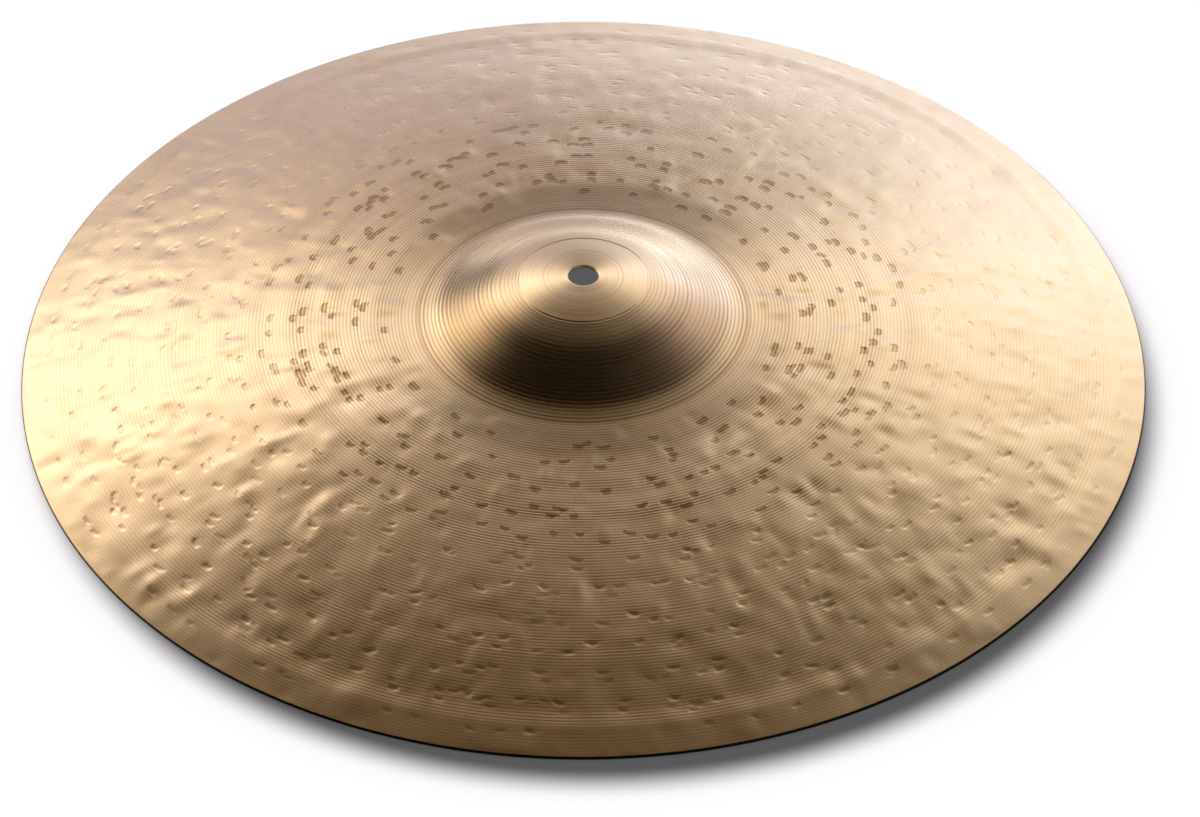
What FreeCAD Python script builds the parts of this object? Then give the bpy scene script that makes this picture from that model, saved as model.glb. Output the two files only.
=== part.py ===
"""Crash cymbal: one round plate of cast bronze with a raised bell and a hole for the stand's rod.

The plate is turned about the vertical Z axis. The rim rests on the plane Z = 0, with the axis at X = Y = 0.
From the middle outward it has a crown with the hole, a shoulder, a flare that ends at the bell's foot, a
collar, the bow, a straight skirt and a narrow edge band. Lengths are in millimetres.
"""
import FreeCAD, Part
import os
import Sketcher
from math import atan2, hypot, pi, sqrt

# Driving dimensions. A radius is measured from the axis, and an arc is the radius of the curve itself.
# Heights are those of the top surface; crown_height is where the crown would meet the axis without the hole.
SIZES = {
    "diameter": 482.6,
    "crown_height": 46.5,
    "hole_diameter": 13.0,
    "crown_arc": 128.0,
    "cap_ring_radius": 28.0,
    "shoulder_arc": 57.0,
    "shoulder_end_radius": 50.0,
    "bell_diameter": 141.0,
    "bell_foot_height": 23.6,
    "collar_radius": 88.0,
    "collar_height": 23.2,
    "inner_bow_arc": 960.0,
    "bow_join_radius": 150.0,
    "bow_join_height": 17.6,
    "bow_end_radius": 205.0,
    "bow_end_height": 8.6,
    "edge_band_width": 12.8,
    "edge_band_height": 3.8,
    "bell_thickness": 1.6,
    "collar_thickness": 1.25,
    "bow_join_thickness": 1.0,
    "bow_end_thickness": 0.88,
    "edge_thickness": 0.8,
    "hole_edge_round": 0.2,
    "rim_edge_round": 0.3,
    "cap_ring_groove_radius": 0.8,
    "cap_ring_groove_depth": 0.25,
}

START, END, CENTRE = 1, 2, 3
ORIGIN_POINT = (-1, 1)


def check(doc):
    """Stop if any object is in error or any shape is empty or broken."""
    for item in doc.Objects:
        for state in item.State:
            if "Invalid" in state or "Error" in state:
                raise RuntimeError(item.Name + " is " + state)
        if hasattr(item, "Shape") and item.isDerivedFrom("PartDesign::Feature"):
            if item.Shape.isNull() or not item.Shape.isValid():
                raise RuntimeError(item.Name + " has a broken shape")


def make_sheet(doc):
    sheet = doc.addObject("Spreadsheet::Sheet", "Sizes")
    for row, (name, value) in enumerate(SIZES.items(), start=1):
        sheet.set("A%d" % row, name)
        sheet.set("B%d" % row, str(value))
        sheet.setAlias("B%d" % row, name)
    doc.recompute()
    return sheet


def sketch_on(body, role, name):
    plane = [item for item in body.Origin.OriginFeatures if item.Role == role][0]
    sketch = body.newObject("Sketcher::SketchObject", name)
    sketch.AttachmentSupport = (plane, [""])
    sketch.MapMode = "FlatFace"
    return sketch


def point(x, y):
    return FreeCAD.Vector(x, y, 0)


def add_line(sketch, first, last):
    index = sketch.addGeometry(Part.LineSegment(point(*first), point(*last)), False)
    return {"index": index, "first": START, "last": END}


def add_arc(sketch, centre, first, last):
    """Add the arc from first to last that is shorter than half a turn."""
    angle_first = atan2(first[1] - centre[1], first[0] - centre[0])
    angle_last = atan2(last[1] - centre[1], last[0] - centre[0])
    radius = hypot(first[0] - centre[0], first[1] - centre[1])
    circle = Part.Circle(point(*centre), FreeCAD.Vector(0, 0, 1), radius)
    turn = (angle_last - angle_first) % (2 * pi)
    if turn < pi:
        index = sketch.addGeometry(Part.ArcOfCircle(circle, angle_first, angle_first + turn), False)
        return {"index": index, "first": START, "last": END}
    turn = 2 * pi - turn
    index = sketch.addGeometry(Part.ArcOfCircle(circle, angle_last, angle_last + turn), False)
    return {"index": index, "first": END, "last": START}


def arc_centre(first, last, radius):
    """Centre below the chord of an arc that bulges upward."""
    dx = last[0] - first[0]
    dy = last[1] - first[1]
    chord = hypot(dx, dy)
    drop = sqrt(radius ** 2 - chord ** 2 / 4)
    return ((first[0] + last[0]) / 2 + dy / chord * drop, (first[1] + last[1]) / 2 - dx / chord * drop)


def tangent_centre(first, last, away):
    """Centre of the arc from first to last whose centre lies along the unit vector away from first."""
    dx = last[0] - first[0]
    dy = last[1] - first[1]
    radius = (dx * dx + dy * dy) / (2 * (dx * away[0] + dy * away[1]))
    return (first[0] + radius * away[0], first[1] + radius * away[1])


def unit(start, end):
    length = hypot(end[0] - start[0], end[1] - start[1])
    return ((end[0] - start[0]) / length, (end[1] - start[1]) / length)


def along(start, direction, distance):
    return (start[0] + direction[0] * distance, start[1] + direction[1] * distance)


def on_arc(centre, radius, x):
    return (x, centre[1] + sqrt(radius ** 2 - (x - centre[0]) ** 2))


def under_arc(centre, radius, x):
    return (x, centre[1] - sqrt(radius ** 2 - (x - centre[0]) ** 2))


def outline_points(v):
    """Work out the corners and arc centres of the half section, from the hole to the rim and back."""
    hole = v["hole_diameter"] / 2
    rim = v["diameter"] / 2
    thick = v["bell_thickness"]
    crown_c = (0, v["crown_height"] - v["crown_arc"])
    top = [on_arc(crown_c, v["crown_arc"], hole), on_arc(crown_c, v["crown_arc"], v["cap_ring_radius"])]
    shoulder_c = along(top[1], unit(top[1], crown_c), v["shoulder_arc"])
    top.append(on_arc(shoulder_c, v["shoulder_arc"], v["shoulder_end_radius"]))
    top.append((v["bell_diameter"] / 2, v["bell_foot_height"]))
    flare_c = tangent_centre(top[2], top[3], unit(shoulder_c, top[2]))
    flare_arc = hypot(flare_c[0] - top[2][0], flare_c[1] - top[2][1])
    top.append((v["collar_radius"], v["collar_height"]))
    top.append((v["bow_join_radius"], v["bow_join_height"]))
    inner_c = arc_centre(top[4], top[5], v["inner_bow_arc"])
    top.append((v["bow_end_radius"], v["bow_end_height"]))
    outer_c = tangent_centre(top[5], top[6], unit(top[5], inner_c))
    top.append((rim - v["edge_band_width"], v["edge_band_height"]))
    top.append((rim, v["edge_thickness"]))

    low = [on_arc(crown_c, v["crown_arc"] - thick, hole)]
    low.append(along(top[1], unit(top[1], crown_c), thick))
    low.append(along(top[2], unit(top[2], shoulder_c), thick))
    low.append(under_arc(flare_c, flare_arc + thick, top[3][0]))
    low.append((top[4][0], top[4][1] - v["collar_thickness"]))
    low.append((top[5][0], top[5][1] - v["bow_join_thickness"]))
    low.append((top[6][0], top[6][1] - v["bow_end_thickness"]))
    low.append((top[7][0], top[7][1] - v["edge_thickness"]))
    low.append((rim, 0))
    inner_low_c = arc_centre(low[4], low[5], v["inner_bow_arc"])
    outer_low_c = tangent_centre(low[5], low[6], unit(low[5], inner_low_c))
    centres = {
        "crown": crown_c,
        "shoulder": shoulder_c,
        "flare": flare_c,
        "inner": inner_c,
        "outer": outer_c,
        "inner_low": inner_low_c,
        "outer_low": outer_low_c,
    }
    return top, low, centres


def draw_plate(sketch):
    """Half section of the plate: a closed loop of arcs and straight runs, bound to the sheet."""
    top, low, centre = outline_points(SIZES)
    crown = add_arc(sketch, centre["crown"], top[0], top[1])
    shoulder = add_arc(sketch, centre["shoulder"], top[1], top[2])
    flare = add_arc(sketch, centre["flare"], top[2], top[3])
    collar = add_line(sketch, top[3], top[4])
    inner = add_arc(sketch, centre["inner"], top[4], top[5])
    outer = add_arc(sketch, centre["outer"], top[5], top[6])
    skirt = add_line(sketch, top[6], top[7])
    band = add_line(sketch, top[7], top[8])
    rim = add_line(sketch, top[8], low[8])
    band_low = add_line(sketch, low[8], low[7])
    skirt_low = add_line(sketch, low[7], low[6])
    outer_low = add_arc(sketch, centre["outer_low"], low[6], low[5])
    inner_low = add_arc(sketch, centre["inner_low"], low[5], low[4])
    collar_low = add_line(sketch, low[4], low[3])
    flare_low = add_arc(sketch, centre["flare"], low[3], low[2])
    shoulder_low = add_arc(sketch, centre["shoulder"], low[2], low[1])
    crown_low = add_arc(sketch, centre["crown"], low[1], low[0])
    bore = add_line(sketch, low[0], top[0])

    def join(kind, before, after):
        sketch.addConstraint(
            Sketcher.Constraint(kind, before["index"], before["last"], after["index"], after["first"])
        )

    def dimension(kind, *parts, formula):
        index = sketch.addConstraint(Sketcher.Constraint(kind, *parts))
        sketch.setExpression("Constraints[%d]" % index, formula)

    def end_across(piece, value, formula):
        dimension("DistanceX", *ORIGIN_POINT, piece["index"], piece["last"], value, formula=formula)

    def end_up(piece, value, formula):
        dimension("DistanceY", *ORIGIN_POINT, piece["index"], piece["last"], value, formula=formula)

    def concentric(piece, other):
        sketch.addConstraint(
            Sketcher.Constraint("Coincident", piece["index"], CENTRE, other["index"], CENTRE)
        )

    join("Tangent", crown, shoulder)
    join("Tangent", shoulder, flare)
    join("Coincident", flare, collar)
    join("Coincident", collar, inner)
    join("Tangent", inner, outer)
    join("Coincident", outer, skirt)
    join("Coincident", skirt, band)
    join("Coincident", band, rim)
    join("Coincident", rim, band_low)
    join("Coincident", band_low, skirt_low)
    join("Coincident", skirt_low, outer_low)
    join("Tangent", outer_low, inner_low)
    join("Coincident", inner_low, collar_low)
    join("Coincident", collar_low, flare_low)
    join("Tangent", flare_low, shoulder_low)
    join("Tangent", shoulder_low, crown_low)
    join("Coincident", crown_low, bore)
    join("Coincident", bore, crown)

    # The crown is part of a sphere whose centre lies on the axis.
    sketch.addConstraint(Sketcher.Constraint("PointOnObject", crown["index"], CENTRE, -2))
    dimension("DistanceY", crown["index"], CENTRE, *ORIGIN_POINT, -centre["crown"][1],
              formula="Sizes.crown_arc - Sizes.crown_height")
    dimension("Radius", crown["index"], SIZES["crown_arc"], formula="Sizes.crown_arc")
    dimension("DistanceX", *ORIGIN_POINT, crown["index"], crown["first"], top[0][0],
              formula="Sizes.hole_diameter / 2")
    end_across(crown, top[1][0], "Sizes.cap_ring_radius")

    # The shoulder rolls over into the flare, which meets the bow in a crease at the bell's foot.
    dimension("Radius", shoulder["index"], SIZES["shoulder_arc"], formula="Sizes.shoulder_arc")
    end_across(shoulder, top[2][0], "Sizes.shoulder_end_radius")
    end_across(flare, top[3][0], "Sizes.bell_diameter / 2")
    end_up(flare, top[3][1], "Sizes.bell_foot_height")

    # The bow is nearly flat in a collar round the bell, then steepens to the straight skirt.
    end_across(collar, top[4][0], "Sizes.collar_radius")
    end_up(collar, top[4][1], "Sizes.collar_height")
    dimension("Radius", inner["index"], SIZES["inner_bow_arc"], formula="Sizes.inner_bow_arc")
    end_across(inner, top[5][0], "Sizes.bow_join_radius")
    end_up(inner, top[5][1], "Sizes.bow_join_height")
    end_across(outer, top[6][0], "Sizes.bow_end_radius")
    end_up(outer, top[6][1], "Sizes.bow_end_height")

    # The edge band falls a little faster than the skirt.
    end_across(skirt, top[7][0], "Sizes.diameter / 2 - Sizes.edge_band_width")
    end_up(skirt, top[7][1], "Sizes.edge_band_height")
    end_across(band, top[8][0], "Sizes.diameter / 2")
    end_up(band, top[8][1], "Sizes.edge_thickness")
    sketch.addConstraint(Sketcher.Constraint("Vertical", rim["index"]))
    sketch.addConstraint(Sketcher.Constraint("PointOnObject", rim["index"], rim["last"], -1))

    # The underside follows the top: equally thick through the bell, thinning along the bow to the rim.
    end_across(band_low, low[7][0], "Sizes.diameter / 2 - Sizes.edge_band_width")
    end_up(band_low, low[7][1], "Sizes.edge_band_height - Sizes.edge_thickness")
    end_across(skirt_low, low[6][0], "Sizes.bow_end_radius")
    end_up(skirt_low, low[6][1], "Sizes.bow_end_height - Sizes.bow_end_thickness")
    end_across(outer_low, low[5][0], "Sizes.bow_join_radius")
    end_up(outer_low, low[5][1], "Sizes.bow_join_height - Sizes.bow_join_thickness")
    sketch.addConstraint(Sketcher.Constraint("Equal", inner_low["index"], inner["index"]))
    end_across(inner_low, low[4][0], "Sizes.collar_radius")
    end_up(inner_low, low[4][1], "Sizes.collar_height - Sizes.collar_thickness")
    end_across(collar_low, low[3][0], "Sizes.bell_diameter / 2")
    concentric(flare_low, flare)
    concentric(shoulder_low, shoulder)
    concentric(crown_low, crown)
    dimension("Radius", shoulder_low["index"], SIZES["shoulder_arc"] - SIZES["bell_thickness"],
              formula="Sizes.shoulder_arc - Sizes.bell_thickness")
    sketch.addConstraint(Sketcher.Constraint("Vertical", bore["index"]))


def draw_cap_ring(sketch):
    """Round-nosed tool mark cut into the top of the bell where its crown meets its shoulder."""
    top, low, centre = outline_points(SIZES)
    radius = SIZES["cap_ring_groove_radius"]
    lift = radius - SIZES["cap_ring_groove_depth"]
    away = unit(centre["crown"], top[1])
    middle = along(top[1], away, lift)
    index = sketch.addGeometry(Part.Circle(point(*middle), FreeCAD.Vector(0, 0, 1), radius), False)
    size = sketch.addConstraint(Sketcher.Constraint("Radius", index, radius))
    sketch.setExpression("Constraints[%d]" % size, "Sizes.cap_ring_groove_radius")
    reach = ("(Sizes.crown_arc + Sizes.cap_ring_groove_radius - Sizes.cap_ring_groove_depth)"
             " / Sizes.crown_arc")
    place = sketch.addConstraint(Sketcher.Constraint("DistanceX", *ORIGIN_POINT, index, CENTRE, middle[0]))
    sketch.setExpression("Constraints[%d]" % place, "Sizes.cap_ring_radius * " + reach)
    place = sketch.addConstraint(Sketcher.Constraint("DistanceY", *ORIGIN_POINT, index, CENTRE, middle[1]))
    sketch.setExpression(
        "Constraints[%d]" % place,
        "Sizes.crown_height - Sizes.crown_arc"
        " + sqrt(Sizes.crown_arc ^ 2 - Sizes.cap_ring_radius ^ 2) * " + reach,
    )


def turned(body, kind, sketch, name):
    feature = body.newObject(kind, name)
    feature.Profile = sketch
    feature.ReferenceAxis = (sketch, ["V_Axis"])
    feature.Angle = 360.0
    return feature


def circle_edges(shape, radius):
    """Names of the full-circle edges about the axis whose radius is the given one."""
    names = []
    for number, edge in enumerate(shape.Edges, start=1):
        curve = edge.Curve
        if isinstance(curve, Part.Circle) and abs(curve.Radius - radius) < 0.01:
            names.append("Edge%d" % number)
    return names


def round_edges(doc, body, radius, alias, name):
    base = body.Tip
    feature = body.newObject("PartDesign::Fillet", name)
    feature.Base = (base, circle_edges(base.Shape, radius))
    feature.setExpression("Radius", "Sizes." + alias)
    doc.recompute()


def make_cymbal(doc):
    body = doc.addObject("PartDesign::Body", "Cymbal")
    body.Label = "cymbal"
    plate_sketch = sketch_on(body, "XZ_Plane", "PlateSection")
    draw_plate(plate_sketch)
    doc.recompute()
    turned(body, "PartDesign::Revolution", plate_sketch, "Plate")
    doc.recompute()
    round_edges(doc, body, SIZES["hole_diameter"] / 2, "hole_edge_round", "HoleEdges")
    round_edges(doc, body, SIZES["diameter"] / 2, "rim_edge_round", "RimEdges")
    ring_sketch = sketch_on(body, "XZ_Plane", "CapRingSection")
    draw_cap_ring(ring_sketch)
    doc.recompute()
    volume_before = body.Shape.Volume
    turned(body, "PartDesign::Groove", ring_sketch, "CapRing")
    doc.recompute()
    if not body.Shape.Volume < volume_before:
        raise RuntimeError("the cap ring removed nothing")
    return body


def main():
    doc = FreeCAD.newDocument("CrashCymbal")
    make_sheet(doc)
    body = make_cymbal(doc)
    check(doc)
    os.makedirs("parts", exist_ok=True)
    body.Shape.exportStep("parts/" + body.Label + ".step")


main()
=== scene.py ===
"""A crash cymbal of cast bronze, lathed and hammered, lying on a white table. Lengths are in metres,
apart from the plate's own sizes, which are in millimetres."""

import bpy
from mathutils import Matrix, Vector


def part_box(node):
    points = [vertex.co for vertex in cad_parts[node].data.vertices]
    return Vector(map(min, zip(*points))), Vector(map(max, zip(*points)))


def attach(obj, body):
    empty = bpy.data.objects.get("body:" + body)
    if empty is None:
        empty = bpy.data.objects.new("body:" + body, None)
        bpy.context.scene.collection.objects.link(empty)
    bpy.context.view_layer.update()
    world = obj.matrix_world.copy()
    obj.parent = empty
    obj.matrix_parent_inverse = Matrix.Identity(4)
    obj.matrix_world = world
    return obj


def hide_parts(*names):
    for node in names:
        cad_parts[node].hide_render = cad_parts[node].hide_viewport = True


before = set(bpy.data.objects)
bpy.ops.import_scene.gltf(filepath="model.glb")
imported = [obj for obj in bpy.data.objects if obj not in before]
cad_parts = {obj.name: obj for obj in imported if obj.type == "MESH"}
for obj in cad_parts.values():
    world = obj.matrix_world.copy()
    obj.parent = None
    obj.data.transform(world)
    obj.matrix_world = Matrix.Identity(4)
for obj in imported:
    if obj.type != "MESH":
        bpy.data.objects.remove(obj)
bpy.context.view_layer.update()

from math import cos, radians, sin, tau

import bpy
import numpy as np
from mathutils import Vector

scene = bpy.context.scene
scene.view_settings.view_transform = "Standard"

# ---------------------------------------------------------------------------------------------------
# The camera stands two metres off, where a person's eyes are over a low table. Its long lens looks
# down at the middle of the plate and has the whole rim in view.
# ---------------------------------------------------------------------------------------------------
lens = bpy.data.cameras.new("camera")
lens.lens = 139.17
lens.sensor_width = 36.0
camera = bpy.data.objects.new("camera", lens)
scene.collection.objects.link(camera)
camera.location = (0.0, -1.5158, 1.3051)
aim = Vector((0.00706, -0.01450, -0.01645))
camera.rotation_mode = "QUATERNION"
camera.rotation_quaternion = (aim - camera.location).to_track_quat("-Z", "Y")
scene.camera = camera


# ---------------------------------------------------------------------------------------------------
# The table is a plain white top, much larger than the plate. The plate rests on its rim and keeps the
# light off the middle. A soft shadow is painted into the top's colour: dark under the plate, fading out
# just past the rim and set a little to the front and right. A faint grey glow is painted under the
# middle, where the hole shows it.
# ---------------------------------------------------------------------------------------------------
class Field:
    """One socket of a material. Sums and products of fields add the nodes that work them out."""

    def __init__(self, tree, socket=None):
        self.tree = tree
        self.socket = socket

    def node(self, kind, settings=None, links=None, out=0):
        """Add a node, set its settings first and then its inputs, and give back one of its outputs."""
        made = self.tree.nodes.new(kind)
        for name, value in (settings or {}).items():
            setattr(made, name, value)
        for name, value in (links or {}).items():
            if isinstance(value, Field):
                self.tree.links.new(value.socket, made.inputs[name])
            else:
                made.inputs[name].default_value = value
        return Field(self.tree, made.outputs[out])

    def maths(self, operation, *values):
        return self.node("ShaderNodeMath", {"operation": operation}, dict(enumerate(values)))

    def wave(self):
        return self.maths("SINE", self)

    def __add__(self, other):
        return self.maths("ADD", self, other)

    def __radd__(self, other):
        return self.maths("ADD", other, self)

    def __sub__(self, other):
        return self.maths("SUBTRACT", self, other)

    def __rsub__(self, other):
        return self.maths("SUBTRACT", other, self)

    def __mul__(self, other):
        return self.maths("MULTIPLY", self, other)

    def __rmul__(self, other):
        return self.maths("MULTIPLY", other, self)

    def __truediv__(self, other):
        return self.maths("DIVIDE", self, other)

    def __rtruediv__(self, other):
        return self.maths("DIVIDE", other, self)

    def __pow__(self, other):
        return self.maths("POWER", self, other)

    def __rpow__(self, other):
        return self.maths("POWER", other, self)

    def rise(self, low, high):
        """0 below low, 1 above high, and a slope with soft ends between them."""
        settings = {"interpolation_type": "SMOOTHSTEP"}
        links = {"Value": self, "From Min": low, "From Max": high}
        return self.node("ShaderNodeMapRange", settings, links)

    def noise(self, scale, detail=2.0, roughness=0.5):
        """Cloudy noise about 0.5, in the space of this vector."""
        links = {"Vector": self, "Scale": scale, "Detail": detail, "Roughness": roughness}
        return self.node("ShaderNodeTexNoise", {}, links)

    def uneven(self, scale, detail=2.0, roughness=0.5):
        """Noise about 0.5 that changes only along this number."""
        links = {"W": self, "Scale": scale, "Detail": detail, "Roughness": roughness}
        return self.node("ShaderNodeTexNoise", {"noise_dimensions": "1D"}, links)

    def blend(self, first, second):
        """The colour that goes from first to second as this number goes from 0 to 1."""
        ends = [end if isinstance(end, Field) else (*end, 1.0) for end in (first, second)]
        links = {"Factor": self, 6: ends[0], 7: ends[1]}
        return self.node("ShaderNodeMix", {"data_type": "RGBA"}, links, out=2)

    def parts(self):
        """The x, y and z of this vector."""
        split = self.node("ShaderNodeSeparateXYZ", {}, {"Vector": self}).socket.node
        return [Field(self.tree, output) for output in split.outputs]

    def feed(self, shader, name):
        self.tree.links.new(self.socket, shader.inputs[name])


def new_material(name):
    """A material, its shader node, and its place on the object as a field."""
    material = bpy.data.materials.new(name)
    material.use_nodes = True
    place = Field(material.node_tree).node("ShaderNodeTexCoord", out="Object")
    return material, material.node_tree.nodes["Principled BSDF"], place


RIM_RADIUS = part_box("cymbal")[1].x
TABLE_HALF = 40.0
SHADE_EAST = 0.005
SHADE_NORTH = -0.017
FULL_SHADE = RIM_RADIUS - 0.012
SHADE_END = RIM_RADIUS + 0.005
FAINT_SHADE_END = RIM_RADIUS + 0.022
BLACK = (0.0, 0.0, 0.0)
PAINTED_SHADOW = (0.09, 0.09, 0.09)
WHITE_TOP = (0.93, 0.93, 0.93)
PAINTED_GLOW_UNDER_HOLE = (0.10, 0.10, 0.10)
PAINTED_GLOW_REACH = (0.09, 0.12)
FAINT_SHARE = 0.16
table_mesh = bpy.data.meshes.new("table")
table_corners = [(-TABLE_HALF, -TABLE_HALF, 0), (TABLE_HALF, -TABLE_HALF, 0),
                 (TABLE_HALF, TABLE_HALF, 0), (-TABLE_HALF, TABLE_HALF, 0)]
table_mesh.from_pydata(table_corners, [], [(0, 1, 2, 3)])
table = bpy.data.objects.new("table", table_mesh)
scene.collection.objects.link(table)

table_with_painted_shadow_and_glow, shader, place = new_material("table_with_painted_shadow_and_glow")
table_mesh.materials.append(table_with_painted_shadow_and_glow)
east, north = place.parts()[:2]
east = east - SHADE_EAST
north = north - SHADE_NORTH
reach = (east * east + north * north) ** 0.5
# Painted shadow: the top's colour is dark grey under the plate and turns white just past the rim.
clear = reach.rise(FULL_SHADE, SHADE_END)
nearly_clear = reach.rise(FULL_SHADE, FAINT_SHADE_END)
clear_of_painted_shadow = clear * (1 - FAINT_SHARE) + nearly_clear * FAINT_SHARE
clear_of_painted_shadow.blend(PAINTED_SHADOW, WHITE_TOP).feed(shader, "Base Color")
# Painted light: the top glows faint grey under the middle, where the hole shows it.
reach.rise(*PAINTED_GLOW_REACH).blend(PAINTED_GLOW_UNDER_HOLE, BLACK).feed(shader, "Emission Color")
shader.inputs["Emission Strength"].default_value = 1.0
shader.inputs["Roughness"].default_value = 1.0
shader.inputs["Specular IOR Level"].default_value = 0.0

# ---------------------------------------------------------------------------------------------------
# The studio is dark overhead, with a white wall round the horizon. Large soft boxes stand behind the
# plate on both sides, with smaller ones between them, cool ones low down and warm ones out to the
# sides. A weak box fills in from the front. One lamp, which metal does not mirror, lights the table.
# ---------------------------------------------------------------------------------------------------
studio = bpy.data.worlds.new("studio")
scene.world = studio
studio.use_nodes = True
direction = Field(studio.node_tree).node("ShaderNodeTexCoord", out="Generated")
wall = 1.0 - direction.parts()[2].rise(0.02, 0.10)
light = wall.blend(BLACK, (1.0, 1.0, 1.0))


def with_soft_box(light, azimuth, elevation, tightness, colour):
    """Add a patch of light, brightest in one direction given in degrees and fading evenly round it."""
    level = cos(radians(elevation))
    toward = (cos(radians(azimuth)) * level, sin(radians(azimuth)) * level, sin(radians(elevation)))
    facing = light.node("ShaderNodeVectorMath", {"operation": "DOT_PRODUCT"}, {0: direction, 1: toward},
                        out="Value")
    amount = light.maths("EXPONENT", (facing - 1.0) * tightness)
    patch = light.node("ShaderNodeVectorMath", {"operation": "SCALE"}, {0: colour, "Scale": amount})
    return light.node("ShaderNodeVectorMath", {"operation": "ADD"}, {0: light, 1: patch})


light = with_soft_box(light, azimuth=115.0, elevation=36.0, tightness=52.0, colour=(2.55, 2.50, 2.84))
light = with_soft_box(light, azimuth=69.0, elevation=40.0, tightness=44.0, colour=(1.29, 1.34, 1.38))
light = with_soft_box(light, azimuth=89.0, elevation=48.0, tightness=16.0, colour=(0.23, 0.14, 0.03))
light = with_soft_box(light, azimuth=104.0, elevation=45.0, tightness=110.0, colour=(0.36, 0.31, 0.26))
light = with_soft_box(light, azimuth=81.0, elevation=39.0, tightness=110.0, colour=(0.16, 0.18, 0.26))
light = with_soft_box(light, azimuth=159.0, elevation=14.0, tightness=18.0, colour=(2.80, 2.34, 1.92))
light = with_soft_box(light, azimuth=134.0, elevation=31.0, tightness=30.0, colour=(0.36, 0.26, 0.14))
light = with_soft_box(light, azimuth=69.0, elevation=21.0, tightness=45.0, colour=(1.45, 1.66, 2.50))
light = with_soft_box(light, azimuth=83.0, elevation=0.0, tightness=45.0, colour=(2.40, 2.72, 3.85))
light = with_soft_box(light, azimuth=98.0, elevation=19.0, tightness=45.0, colour=(0.62, 0.60, 1.05))
light = with_soft_box(light, azimuth=26.0, elevation=6.0, tightness=9.0, colour=(1.66, 1.39, 1.55))
light = with_soft_box(light, azimuth=-45.0, elevation=12.0, tightness=11.0, colour=(0.58, 0.54, 0.46))
light.feed(studio.node_tree.nodes["Background"], "Color")

lamp = bpy.data.lights.new("table_lamp", "SUN")
lamp.energy = 3.0
lamp.angle = radians(25.0)
lamp_object = bpy.data.objects.new("table_lamp", lamp)
scene.collection.objects.link(lamp_object)
lamp_object.rotation_euler = (radians(-28.0), radians(-18.0), 0.0)
lamp_object.visible_glossy = False

# ---------------------------------------------------------------------------------------------------
# The cymbal is a single round plate of bronze, a fifth of it tin. It is cast, rolled flat and cut
# round. Its bell is pressed up hot, its bow is hammered down by hand, and both faces are lathed.
# The plate is 1.6 mm thick through the bell and thins along the bow to the rim.
# ---------------------------------------------------------------------------------------------------
MM = 0.001
RIM = RIM_RADIUS / MM
HOLE = 6.5
BELL_END = 72.0
BELL_THICK = 1.6
RIM_THICK = 0.8

# How steeply the top falls at each radius: crown, cap ring, flank, foot, bow and edge band.
FALLS = (
    (HOLE, 0.01), (12.0, 0.03), (22.0, 0.18), (27.3, 0.22),
    (27.5, 0.95), (27.75, 0.95), (27.95, -0.40), (28.2, -0.40), (28.4, 0.35),
    (36.0, 0.44), (50.0, 0.525), (57.0, 0.515), (61.0, 0.46),
    (69.0, 0.25), (70.6, 0.22), (70.9, 0.05), (BELL_END, 0.04),
    (90.0, 0.045), (206.0, 0.222), (219.0, 0.222),
    (222.0, 0.18), (226.5, 0.18), (229.0, 0.245), (RIM, 0.245),
)

# How thick the plate is at each radius.
THICKNESSES = ((70.0, BELL_THICK), (90.0, 1.25), (150.0, 1.0), (205.0, 0.88), (RIM, RIM_THICK))


def top_height(radius):
    """Height of the smooth top over the table: its falls, added up from the rim inward."""
    fine = np.linspace(HOLE, RIM, 4001)
    fall = np.interp(fine, *zip(*FALLS))
    dropped = np.concatenate(([0.0], np.cumsum((fall[1:] + fall[:-1]) / 2 * np.diff(fine))))
    return RIM_THICK + dropped[-1] - float(np.interp(radius, fine, dropped))


def under_height(radius):
    """Height of the underside, which is lathed smooth."""
    thick = np.interp(radius, *zip(*THICKNESSES))
    tilt = np.interp(radius, *zip(*FALLS)) if radius < BELL_END else 0.0
    return top_height(radius) - float(thick * (1 + tilt ** 2) ** 0.5)


# The smith hammers in rings: a row of blows by the bell, ten close pairs of rows across the bow, and a
# last row in the edge band. The work is laid out on a grid of rings and spokes.
coarse = 1
SPOKES = 2048 // coarse
GRID_STEP = 0.5 * coarse
GRID_END = RIM - 0.3
bow_radii = np.linspace(BELL_END, GRID_END, int((GRID_END - BELL_END) / GRID_STEP) + 1)
hammered = np.zeros((len(bow_radii), SPOKES))
bruised = np.zeros((len(bow_radii), SPOKES))
draw = np.random.default_rng(17)


def near(radius, angle, reach_out, reach_along):
    """The part of the grid near one blow, and how far out and along its points lie from the blow."""
    rows = np.flatnonzero(np.abs(bow_radii - radius) < reach_out)
    half = int(reach_along / radius * SPOKES / tau) + 1
    middle = int(round(angle / tau * SPOKES))
    spokes = np.arange(middle - half, middle + half + 1)
    out = (bow_radii[rows] - radius)[:, None]
    along = (spokes * tau / SPOKES - angle)[None, :] * bow_radii[rows][:, None]
    return np.ix_(rows, spokes % SPOKES), out, along


def soft_dent(radius, angle, depth, wide, long):
    """A shallow hollow, or with a depth below zero a rise, left by work that the lathe has cut away."""
    place, out, along = near(radius, angle, 2.5 * long, 2.5 * wide)
    hammered[place] -= depth * np.exp(-(out / long) ** 2 - (along / wide) ** 2)


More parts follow.
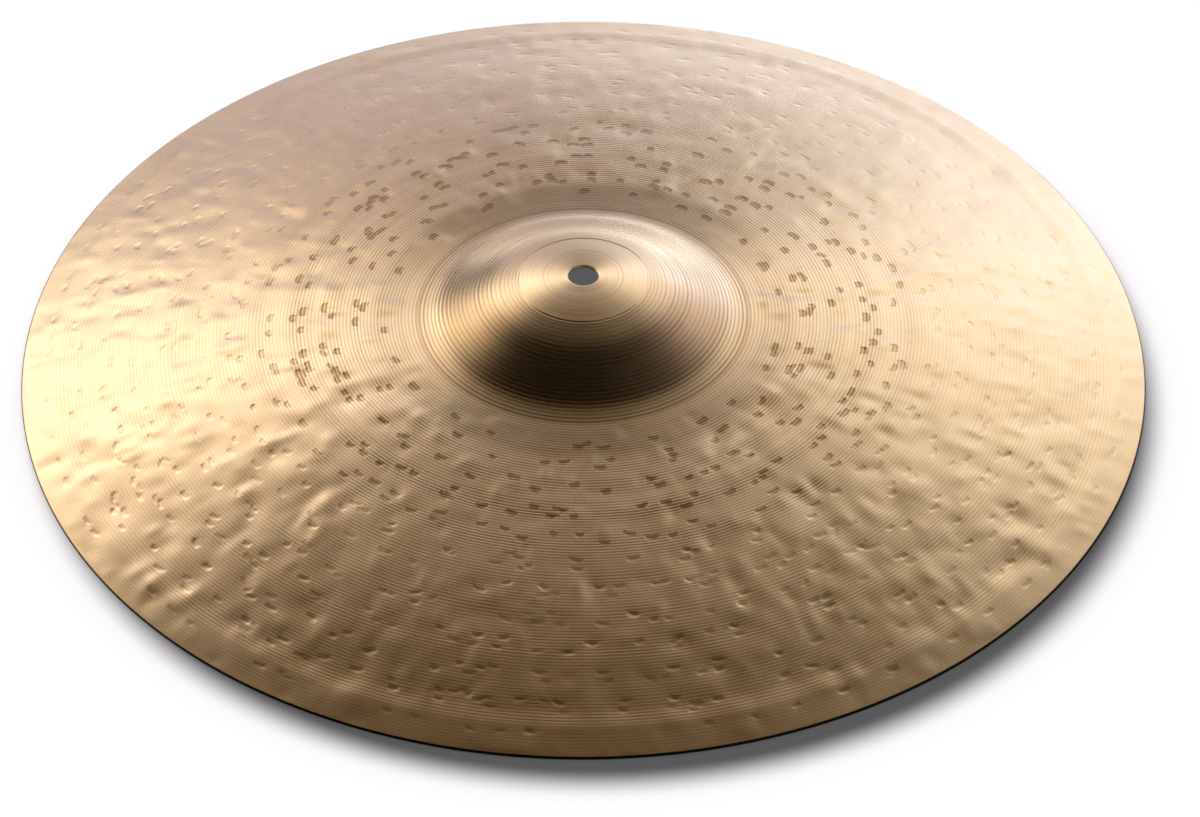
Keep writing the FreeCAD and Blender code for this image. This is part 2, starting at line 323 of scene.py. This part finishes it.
def blow(radius, angle, depth, wide, inner, outer, turn, sag):
    """One blow of the tilted hammer. Its half-moon floor slopes down over the inner length and climbs
    back over the shorter outer length, and the metal sags round it."""
    place, out, along = near(radius, angle, reach_out=12.0, reach_along=14.0)
    sag_long = 5.5
    sag_wide = 6.5
    hammered[place] -= sag * np.exp(-(out / sag_long) ** 2 - (along / sag_wide) ** 2)
    across = 2 * (along * cos(turn) + out * sin(turn)) / wide
    curve = 0.6 * outer * across ** 2
    onward = out * cos(turn) - along * sin(turn) + curve
    ends = np.clip(1 - across ** 2, 0, 1) ** 0.5
    mark = ends * np.clip(np.minimum(1 + onward / inner, 1 - onward / outer), 0, 1)
    hammered[place] -= depth * mark
    bruised[place] = np.maximum(bruised[place], np.clip(mark * 4, 0, 1))


BELL_ROW = 85.5
EDGE_ROW = 231.5
FIRST_PAIR = 96.2
PAIRS_APART = 13.65
HALF_PAIR = 2.1
PAIRS = 10
LEAST_GAP = 5.0
USUAL_GAP = 23.0
SECOND_BLOWS = 0.25
rows_of_blows = [BELL_ROW, EDGE_ROW]
for pair in range(PAIRS):
    middle = FIRST_PAIR + PAIRS_APART * pair
    rows_of_blows += [middle - HALF_PAIR, middle + HALF_PAIR]
for ring in rows_of_blows:
    by_bell = float(np.interp(ring, (120.0, 170.0), (1.0, 0.0)))
    angle = draw.uniform(0, 0.2)
    while angle < tau - 0.02:
        blow(ring + draw.normal(0, 0.35), angle, depth=draw.uniform(0.07, 0.17) + 0.03 * by_bell,
             wide=draw.uniform(3.6, 6.4), inner=draw.uniform(1.5, 2.7),
             outer=draw.uniform(0.6, 1.0) + 0.4 * by_bell, turn=draw.normal(0, 0.2),
             sag=draw.uniform(0.03, 0.12))
        if draw.random() < SECOND_BLOWS:
            blow(ring + draw.normal(0, 1.2), angle + draw.normal(0, 4.0) / ring,
                 depth=draw.uniform(0.06, 0.15), wide=draw.uniform(3.0, 6.0),
                 inner=draw.uniform(1.5, 2.5), outer=draw.uniform(0.6, 1.0),
                 turn=draw.normal(0, 0.3), sag=0.03)
        angle += max(LEAST_GAP, draw.gamma(4.0, USUAL_GAP / 4.0)) / ring

# Older work shows through as small dents, deepest by the bell, and as broad ones that run round.
SMALL_DENTS = 2400
BROAD_DENTS = 200
for dent in range(SMALL_DENTS):
    radius = draw.uniform(BELL_END ** 2, RIM ** 2) ** 0.5
    usual_depth = 0.19 - 0.00045 * radius
    soft_dent(radius, draw.uniform(0, tau), depth=draw.uniform(-1.6, 1.6) * usual_depth,
              wide=draw.uniform(2.8, 5.6), long=draw.uniform(3.6, 6.6))
for dent in range(BROAD_DENTS):
    radius = draw.uniform(BELL_END ** 2, RIM ** 2) ** 0.5
    soft_dent(radius, draw.uniform(0, tau), depth=draw.normal(0, 0.17), wide=draw.uniform(9.0, 15.0),
              long=draw.uniform(5.0, 8.0))

# The share of the hammering that is left at each radius. The lathe cuts it away by the bell and rim.
KEPT = ((BELL_END, 0.0), (77.0, 1.0), (222.0, 1.0), (229.0, 0.85), (239.0, 0.7), (RIM, 0.0))
hammered *= np.interp(bow_radii, *zip(*KEPT))[:, None]

# The skin is laid in rings of points, from the hole over the top, round the rim and back underneath
# to the hole. Rings near the middle have fewer points. A ring's run is its place on the flat map. The
# bow's underside is lifted a hair, so that the plate stands on its rim.
TOP_RUN = 0.62
UNDER_RUN = 0.37
EDGE_BREAK = 0.2
CAP_RING = 28.0
CAP_RING_HALF = 0.8
BELL_STEP = 0.55
UNDER_BOW_STEP = 1.5
UNDER_LIFT = 0.02
FINE_FROM = 120.0
points, turns, runs, marks, rings = [], [], [], [], []


def lay_ring(radius, height, count, run, mark=0.0):
    """Add one ring of points. Height and mark are one number for the ring, or one for each point."""
    turn = np.arange(count) / count
    height = np.broadcast_to(height, count)
    rings.append((sum(many for first, many in rings), count))
    points.append(np.stack([radius * np.cos(turn * tau), radius * np.sin(turn * tau), height], 1))
    turns.append(turn)
    runs.append(np.full(count, run))
    marks.append(np.broadcast_to(mark, count))


def lay_faces(ring, next_ring):
    """Faces between two rings, of which one may have twice as many points as the other."""
    (first, many), (other, others) = ring, next_ring
    a = np.arange(min(many, others))
    b = (a + 1) % len(a)
    if many == others:
        return [np.stack([first + a, other + a, other + b, first + b], 1)]
    fine, wide = (first, other) if many > others else (other, first)
    between = [(fine + 2 * a, fine + 2 * a + 1, wide + a), (fine + 2 * a + 1, fine + 2 * b, wide + b),
               (fine + 2 * a + 1, wide + b, wide + a)]
    return [np.stack(face[::-1] if many > others else face, 1) for face in between]


bell_rings = int((BELL_END - HOLE) / (BELL_STEP * coarse))
bell_radii = np.linspace(HOLE + EDGE_BREAK, BELL_END, bell_rings)[:-1]
cap_ring_radii = np.linspace(CAP_RING - CAP_RING_HALF, CAP_RING + CAP_RING_HALF, 13)
bell_radii = np.union1d(bell_radii[np.abs(bell_radii - CAP_RING) > CAP_RING_HALF], cap_ring_radii)
for radius in bell_radii:
    lay_ring(radius, top_height(radius), SPOKES // 4, run=1 - TOP_RUN * radius / RIM)
for row, radius in enumerate(bow_radii):
    every = 2 if radius < FINE_FROM else 1
    lay_ring(radius, (top_height(radius) + hammered[row])[::every], SPOKES // every,
             run=1 - TOP_RUN * radius / RIM, mark=bruised[row][::every])
cut_edge = ((0.09, 0.7, 0.378), (0.0, 0.5, 0.376), (0.0, 0.3, 0.374), (0.09, 0.09, 0.372))
for inward, height, run in cut_edge:
    lay_ring(RIM - inward, height, SPOKES // 2, run)
for radius in np.linspace(GRID_END, BELL_END, int((RIM - BELL_END) / (UNDER_BOW_STEP * coarse))):
    lay_ring(radius, under_height(radius) + UNDER_LIFT, SPOKES // 4, run=UNDER_RUN * radius / RIM)
for radius in np.linspace(BELL_END, HOLE + EDGE_BREAK, int((BELL_END - HOLE) / coarse))[1:]:
    lay_ring(radius, under_height(radius), SPOKES // 4, run=UNDER_RUN * radius / RIM)
lay_ring(HOLE, top_height(HOLE) - BELL_THICK + EDGE_BREAK, SPOKES // 4, run=0.008)
lay_ring(HOLE, top_height(HOLE) - EDGE_BREAK, SPOKES // 4, run=0.0)
strips = [strip for pair in zip(rings, rings[1:] + rings[:1]) for strip in lay_faces(*pair)]

skin = bpy.data.meshes.new("cymbal_plate")
skin.from_pydata(np.concatenate(points) * MM, [], [face for strip in strips for face in strip.tolist()])
skin.polygons.foreach_set("use_smooth", np.ones(len(skin.polygons), bool))
bruises = skin.attributes.new("bruise", "FLOAT", "POINT")
bruises.data.foreach_set("value", np.concatenate(marks).astype(np.float32))

# The flat map unrolls the plate: round it goes from left to right, and the hole's edge is at the top.
turns, runs = np.concatenate(turns), np.concatenate(runs)
flat = []
for strip in strips:
    across = turns[strip]
    across = np.where(across.max(1, keepdims=True) - across > 0.5, across + 1, across)
    down = runs[strip]
    if strip is strips[-1]:
        down = np.where(down == 0.0, 1.0, down)
    flat.append(np.stack([across, down], 2).reshape(-1))
skin.uv_layers.new(name="OFBake").uv.foreach_set("vector", np.concatenate(flat).astype(np.float32))

cymbal = bpy.data.objects.new("cymbal_plate", skin)
scene.collection.objects.link(cymbal)
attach(cymbal, "root")
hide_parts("cymbal")

# The finish is bare bronze as the lathe left it. The tool cuts fine grooves, deeper in some turns than
# in others, so light spreads across the grooves far more than along them. Blows near the bell keep the
# brown skin of the casting, which the tool passed over. Radii and depths are in millimetres.
BOW_PITCH = 1.50
BELL_PITCH = 1.70
LEAST_GROOVE = 0.012
EXTRA_GROOVE = 0.016
SCRATCH = 0.016
GRAIN = 0.010
CROWN_GROOVE = 0.08
BRONZE = (0.88, 0.665, 0.38)
BROWN = (0.30, 0.18, 0.07)
RIM_PAINTED_SHADE = (0.012, 0.010, 0.008)
bronze, shader, place = new_material("lathed_bronze")
skin.materials.append(bronze)
x, y = place.parts()[:2]
radius = (x * x + y * y) ** 0.5 / MM
off_crown = radius.rise(27.6, 28.4)
low_flank = radius.rise(50.0, 60.0)
on_bow = radius.rise(70.0, 71.2)
on_bell = 1.0 - on_bow
outward = radius.rise(90.0, 200.0)
edge_band = radius.rise(226.5, 228.5)
deep_cut = 1.0 - 0.6 * edge_band
bruise = place.node("ShaderNodeAttribute", {"attribute_name": "bruise"}, out="Fac")

# The grooves' spacing drifts a little. Fine scratches lie between them on the bow, a grain lies on its
# outer part, and the crown has a few broad grooves of its own.
drift = radius.uneven(0.045, detail=1.0) * 7.0
bow_lines = (radius * (tau / BOW_PITCH) + drift).wave()
bell_lines = (radius * (tau / BELL_PITCH) + drift * 2.0).wave()
lines = bow_lines * on_bow + bell_lines * on_bell
strength = radius.uneven(0.11, roughness=0.6)
bell_cut = (off_crown * 0.85 + 0.15) * (radius.uneven(0.3, detail=1.0).rise(0.4, 0.65) * 0.7 + 0.35)
depth = (EXTRA_GROOVE * strength.rise(0.35, 0.7) + LEAST_GROOVE) * (1.5 - 0.92 * outward)
depth = depth * (on_bow + on_bell * bell_cut * (0.6 + 0.35 * low_flank))
scratches = (radius.uneven(1.5, roughness=0.6) - 0.5) * SCRATCH * on_bow
grooves = (lines * depth + scratches) * deep_cut * (1.0 - bruise)
grain = (place.noise(1100.0) - 0.5) * GRAIN * radius.rise(150.0, 200.0)
on_crown = 1.0 - radius.rise(26.8, 27.6)
crown_grooves = (radius.uneven(0.5, roughness=0.6) - 0.5) * CROWN_GROOVE * on_crown
height = grooves + grain + crown_grooves
bump = place.node("ShaderNodeBump", {}, {"Strength": 1.0, "Distance": MM, "Height": height})
bump.feed(shader, "Normal")

# Painted shade darkens the grooves against the ridges and turns them browner, most of all by the bell.
# Faint stains lie over both. Painted shade also marks the crease at the foot of the bell and rings on
# the crown, and paints the cut edge nearly black.
# Painted shade: the lathe's grooves are drawn as darker, browner rings in the colour.
stripe = lines * 0.5 + 0.5
stripe = stripe * (on_bow + on_bell * stripe)
by_bell = 1.0 - radius.rise(90.0, 170.0)
stain = place.noise(45.0, detail=4.0, roughness=0.6).rise(0.45, 0.75) * 0.10
stain_and_painted_shade = stripe * (0.08 + 0.12 * strength + 0.70 * by_bell * strength) * deep_cut + stain
bell_shade = (0.35 + 0.7 * bell_cut) * (1.0 + 0.5 * low_flank)
stain_and_painted_shade = stain_and_painted_shade * (0.15 + 0.85 * off_crown) * (on_bow + on_bell * bell_shade)
# Painted shade: a thin dark ring in the crease at the bell's foot, and faint dark rings on the crown.
foot_painted_shade = (radius.rise(70.4, 70.8) - radius.rise(70.9, 71.3)) * 0.35
crown_shade = radius.uneven(0.45, roughness=0.6).rise(0.45, 0.75) * 0.22 * (1.0 - off_crown)
stain_and_painted_shade = stain_and_painted_shade + foot_painted_shade + crown_shade
ragged = (bruise + (place.noise(420.0, detail=3.0, roughness=0.7) - 0.5) * 1.6).rise(0.20, 0.55)
ragged = ragged * bruise.rise(0.0, 0.15)
brown = ragged * (0.08 + 0.54 * (1.0 - radius.rise(120.0, 165.0))) * (0.72 + 0.28 * stripe)
face_colour = (stain_and_painted_shade + brown).blend(BRONZE, BROWN)
# Painted shade: the cut edge at the rim is coloured nearly black.
radius.rise(RIM - 0.45, RIM - 0.2).blend(face_colour, RIM_PAINTED_SHADE).feed(shader, "Base Color")

# The flank of the bell is the smoothest and its foot the roughest. The bow is between the two.
roughness = 0.29 + 0.04 * radius.rise(27.1, 28.6) - 0.15 * radius.rise(30.0, 43.0)
roughness = roughness + 0.19 * radius.rise(60.0, 69.0) - 0.10 * radius.rise(86.0, 96.0)
roughness = roughness - 0.025 * radius.rise(175.0, 195.0) - 0.02 * bruise
roughness.feed(shader, "Roughness")
place.node("ShaderNodeTangent", {"direction_type": "RADIAL", "axis": "Z"}).feed(shader, "Tangent")
shader.inputs["Metallic"].default_value = 1.0
shader.inputs["Anisotropic"].default_value = 0.98
shader.inputs["Anisotropic Rotation"].default_value = 0.25
